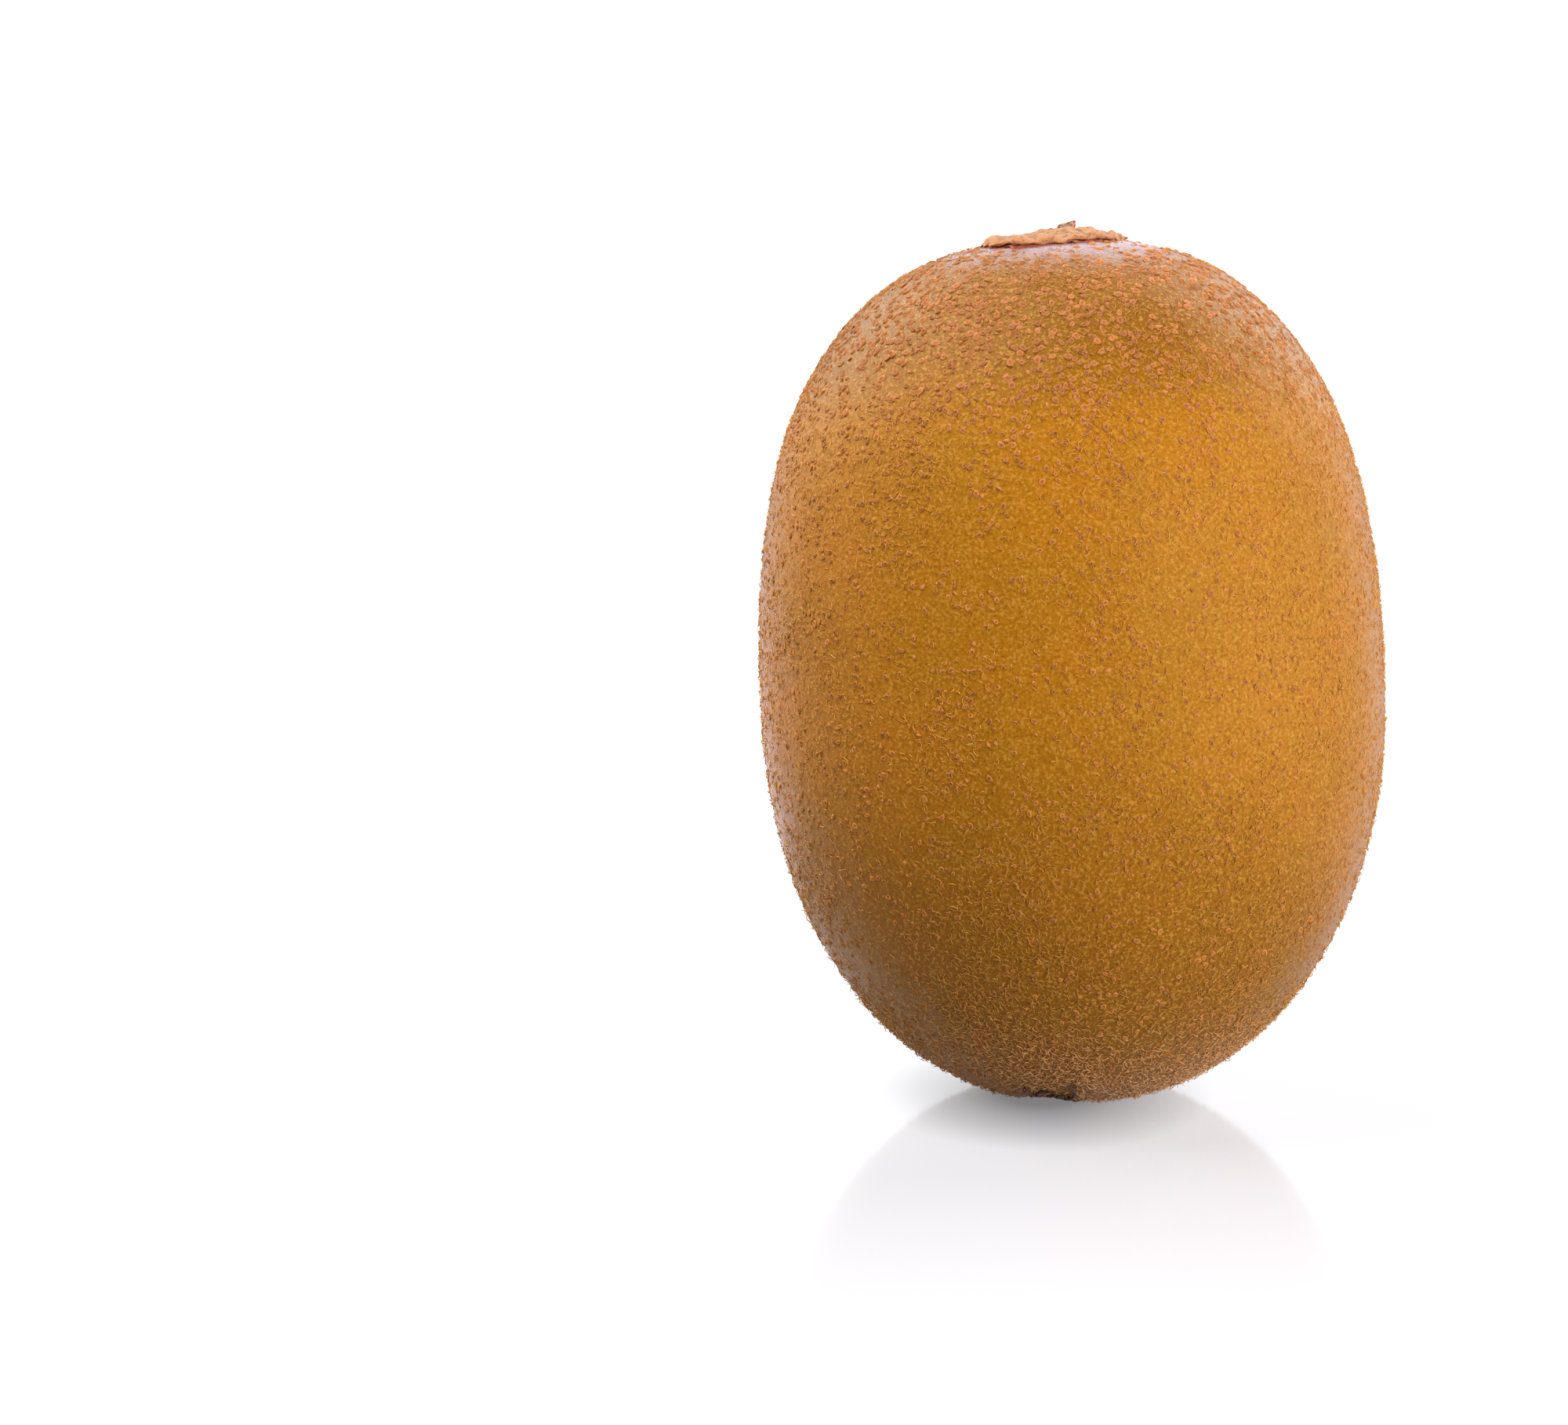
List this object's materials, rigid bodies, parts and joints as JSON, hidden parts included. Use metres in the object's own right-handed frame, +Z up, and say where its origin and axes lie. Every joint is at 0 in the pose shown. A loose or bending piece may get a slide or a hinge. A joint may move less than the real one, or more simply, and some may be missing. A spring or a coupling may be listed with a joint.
{
  "type": "golden kiwi fruit",
  "caption": "Whole golden kiwi fruit standing on its blossom end, with warty skin, a dry calyx, a broken stalk stub and a tuft of dried styles.",
  "frame": {"origin": "middle of the fruit's bounding box, on the surface it rests on", "axes": "+Z up, from the blossom end to the stem end; the tuft of dried styles faces -Y; +X is to the right seen from -Y"},
  "size_m": [0.0504, 0.0489, 0.07],
  "materials": {
    "skin": "satin",
    "calyx": "matte",
    "stalk": "matte",
    "styles": "matte"
  },
  "bodies": {
    "root": {"fruit": "skin", "calyx": "calyx", "stalk_stub": "stalk", "dried_styles": "styles"}
  },
  "joints": []
}
